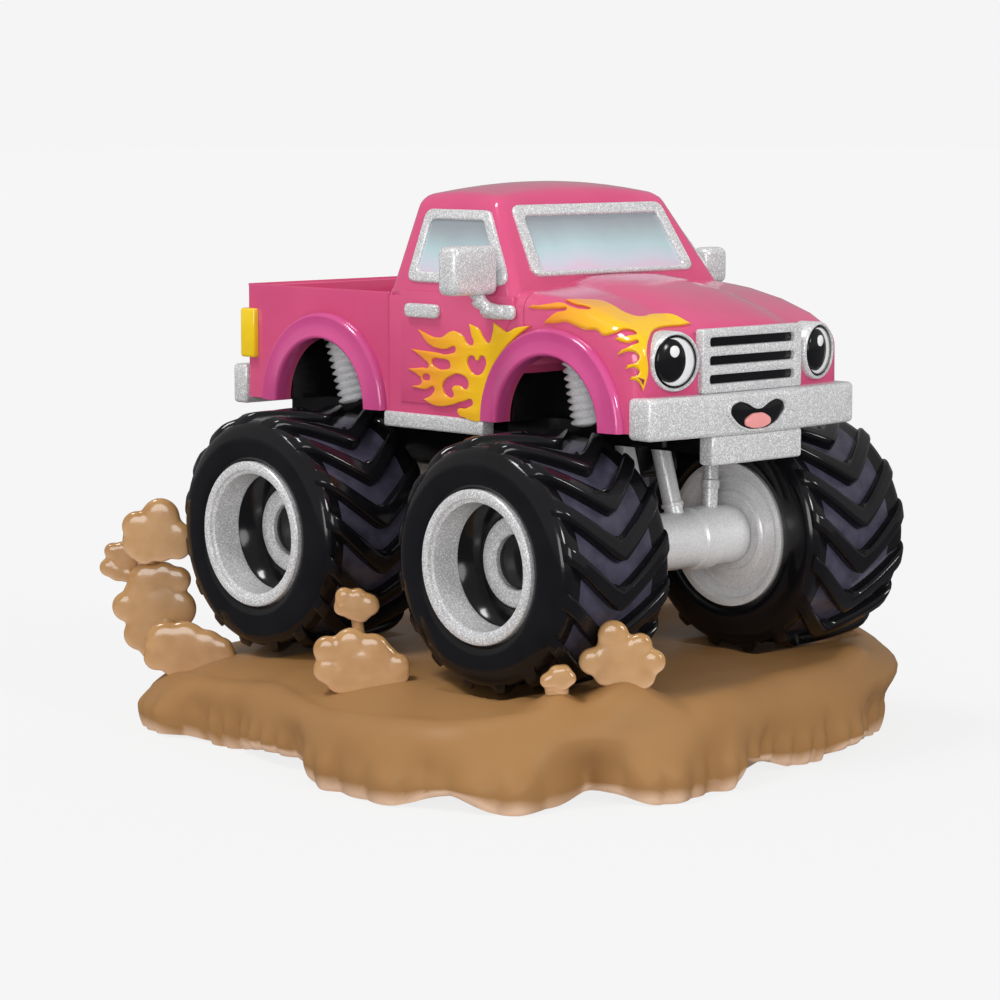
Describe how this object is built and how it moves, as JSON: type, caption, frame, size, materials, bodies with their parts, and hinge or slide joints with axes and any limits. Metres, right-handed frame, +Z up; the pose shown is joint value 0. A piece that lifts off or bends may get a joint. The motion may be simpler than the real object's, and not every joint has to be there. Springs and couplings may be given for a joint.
{
  "type": "model monster truck",
  "caption": "Small resin model of a pickup monster truck with oversized lugged tyres that turn, standing on a mound of mud.",
  "frame": {"origin": "on the mound's flat underside, under the middle of the wheelbase", "axes": "+X forward, +Y the truck's left, +Z up"},
  "size_m": [0.1007, 0.0977, 0.0761],
  "materials": {
    "mud_paint": "gloss",
    "black_paint": "gloss",
    "silver_paint": "gloss",
    "pink_paint": "gloss",
    "magenta_paint": "gloss",
    "window_paint": "gloss",
    "white_paint": "gloss",
    "tongue_paint": "gloss",
    "yellow_paint": "gloss",
    "tyre_paint": "gloss"
  },
  "bodies": {
    "truck": {"mud_base": "mud_paint", "chassis_frame": "black_paint", "floor_pan": "black_paint", "wheel_boxes": "black_paint", "front_axle": "silver_paint", "rear_axle": "silver_paint", "axle_links_front": "silver_paint", "axle_links_rear": "silver_paint", "shock_rods_front": "silver_paint", "shock_rods_rear": "silver_paint", "coil_springs_front": "silver_paint", "coil_springs_rear": "silver_paint", "bed": "pink_paint", "tailgate": "pink_paint", "cab_shell": "pink_paint", "door_right": "pink_paint", "door_left": "pink_paint", "hood": "pink_paint", "wing_right": "pink_paint", "wing_left": "pink_paint", "arch_flares": "magenta_paint", "windscreen": "window_paint", "windscreen_trim": "silver_paint", "rear_window": "window_paint", "rear_window_trim": "silver_paint", "side_windows": "window_paint", "side_window_trims": "silver_paint", "sills": "silver_paint", "door_handles": "silver_paint", "mirror_right": "silver_paint", "mirror_left": "silver_paint", "grille": "silver_paint", "grille_backing": "black_paint", "headlamp_bezels": "silver_paint", "headlamp_lenses": "white_paint", "headlamp_pupils": "black_paint", "front_bumper": "silver_paint", "smile": "black_paint", "tongue": "tongue_paint", "skid_plate": "silver_paint", "rear_bumper": "silver_paint", "tail_lamps": "yellow_paint"},
    "wheel_front_right": {"tyre_front_right": "tyre_paint", "rim_front_right": "silver_paint", "wheel_disc_front_right": "black_paint"},
    "wheel_front_left": {"tyre_front_left": "tyre_paint", "rim_front_left": "silver_paint", "wheel_disc_front_left": "black_paint"},
    "wheel_rear_right": {"tyre_rear_right": "tyre_paint", "rim_rear_right": "silver_paint", "wheel_disc_rear_right": "black_paint"},
    "wheel_rear_left": {"tyre_rear_left": "tyre_paint", "rim_rear_left": "silver_paint", "wheel_disc_rear_left": "black_paint"}
  },
  "joints": [
    {"name": "wheel_front_right_turn", "type": "hinge", "parent": "truck", "child": "wheel_front_right", "pos_m": [0.0224, -0.02355, 0.028], "axis": [0, 1, 0], "continuous": true},
    {"name": "wheel_front_left_turn", "type": "hinge", "parent": "truck", "child": "wheel_front_left", "pos_m": [0.0224, 0.02355, 0.028], "axis": [0, 1, 0], "continuous": true},
    {"name": "wheel_rear_right_turn", "type": "hinge", "parent": "truck", "child": "wheel_rear_right", "pos_m": [-0.0224, -0.02355, 0.028], "axis": [0, 1, 0], "continuous": true},
    {"name": "wheel_rear_left_turn", "type": "hinge", "parent": "truck", "child": "wheel_rear_left", "pos_m": [-0.0224, 0.02355, 0.028], "axis": [0, 1, 0], "continuous": true}
  ]
}
